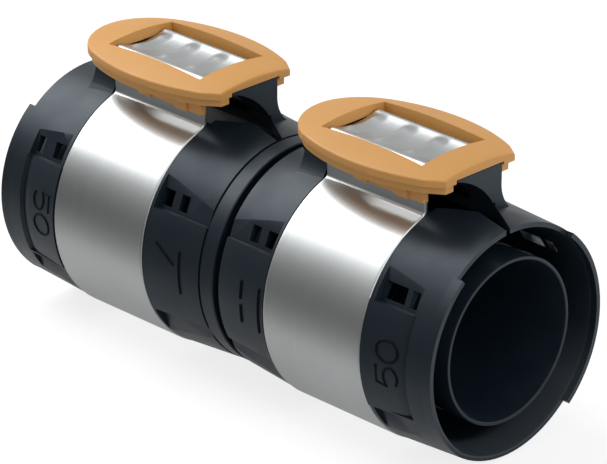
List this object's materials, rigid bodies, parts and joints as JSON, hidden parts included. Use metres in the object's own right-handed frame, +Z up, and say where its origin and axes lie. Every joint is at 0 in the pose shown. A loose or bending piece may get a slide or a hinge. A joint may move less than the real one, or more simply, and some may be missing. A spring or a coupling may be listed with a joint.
{
  "type": "press coupling",
  "caption": "Straight press coupling for plastic pipe: a sealed spigot body in slit carriers, each clamped by a steel press band with a neck and a snap-off indicator.",
  "frame": {"origin": "on the pipe axis, in the middle of the coupling", "axes": "+X along the pipe axis to the right spigot, +Z up through the press bands' necks, +Y across"},
  "size_m": [0.1446, 0.0594, 0.0714],
  "materials": {
    "body_plastic": "satin black moulding",
    "seal_rubber": "smooth black rubber",
    "carrier_plastic": "satin charcoal moulding",
    "band_steel": "bright stainless sheet with rolled edges",
    "indicator_plastic": "satin orange moulding"
  },
  "bodies": {
    "root": {"fitting_body": "body_plastic", "left_outer_seal": "seal_rubber", "left_inner_seal": "seal_rubber", "right_inner_seal": "seal_rubber", "right_outer_seal": "seal_rubber", "left_pipe_carrier": "carrier_plastic", "right_pipe_carrier": "carrier_plastic", "left_press_band": "band_steel", "right_press_band": "band_steel", "left_press_indicator": "indicator_plastic", "right_press_indicator": "indicator_plastic"}
  },
  "joints": []
}
